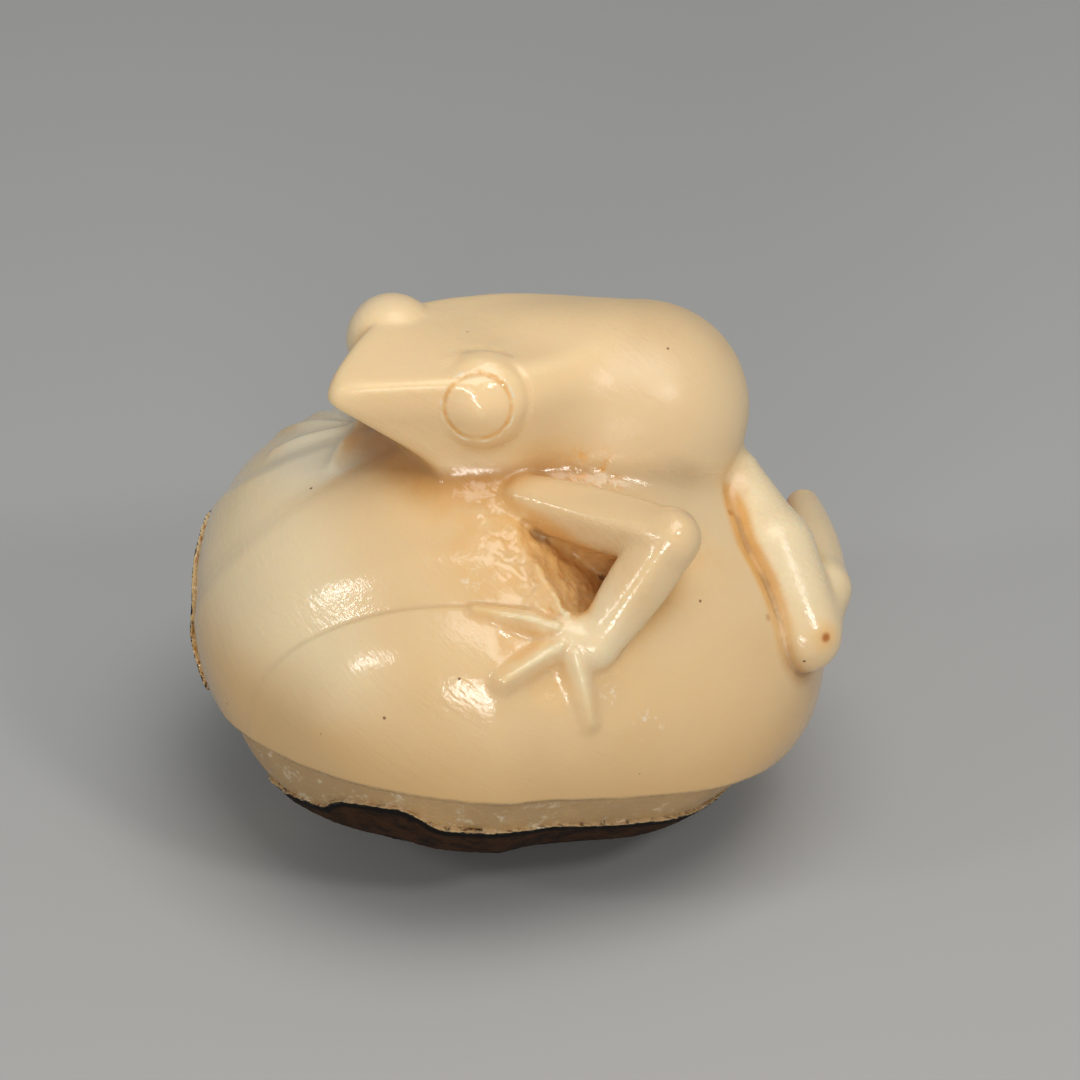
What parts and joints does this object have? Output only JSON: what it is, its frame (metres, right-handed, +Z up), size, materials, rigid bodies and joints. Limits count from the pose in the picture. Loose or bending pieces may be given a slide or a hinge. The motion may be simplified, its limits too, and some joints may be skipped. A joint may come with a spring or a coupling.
{
  "type": "carved animal figurine",
  "caption": "Small figurine of a tree frog resting on a rounded nut, both carved from one tagua nut, with dark nut skin left on the underside.",
  "frame": {"origin": "centre of the small flat spot on the underside that the carving stands on", "axes": "+Z up, away from the surface it stands on; -X along the nut towards the frog's snout; -Y towards the side with the frog's left hand"},
  "size_m": [0.05, 0.0441, 0.0425],
  "materials": {
    "carving": "polished cream vegetable ivory, glossy and slightly see-through, with brown nut skin on the underside"
  },
  "bodies": {
    "root": {"carving": "carving"}
  },
  "joints": []
}
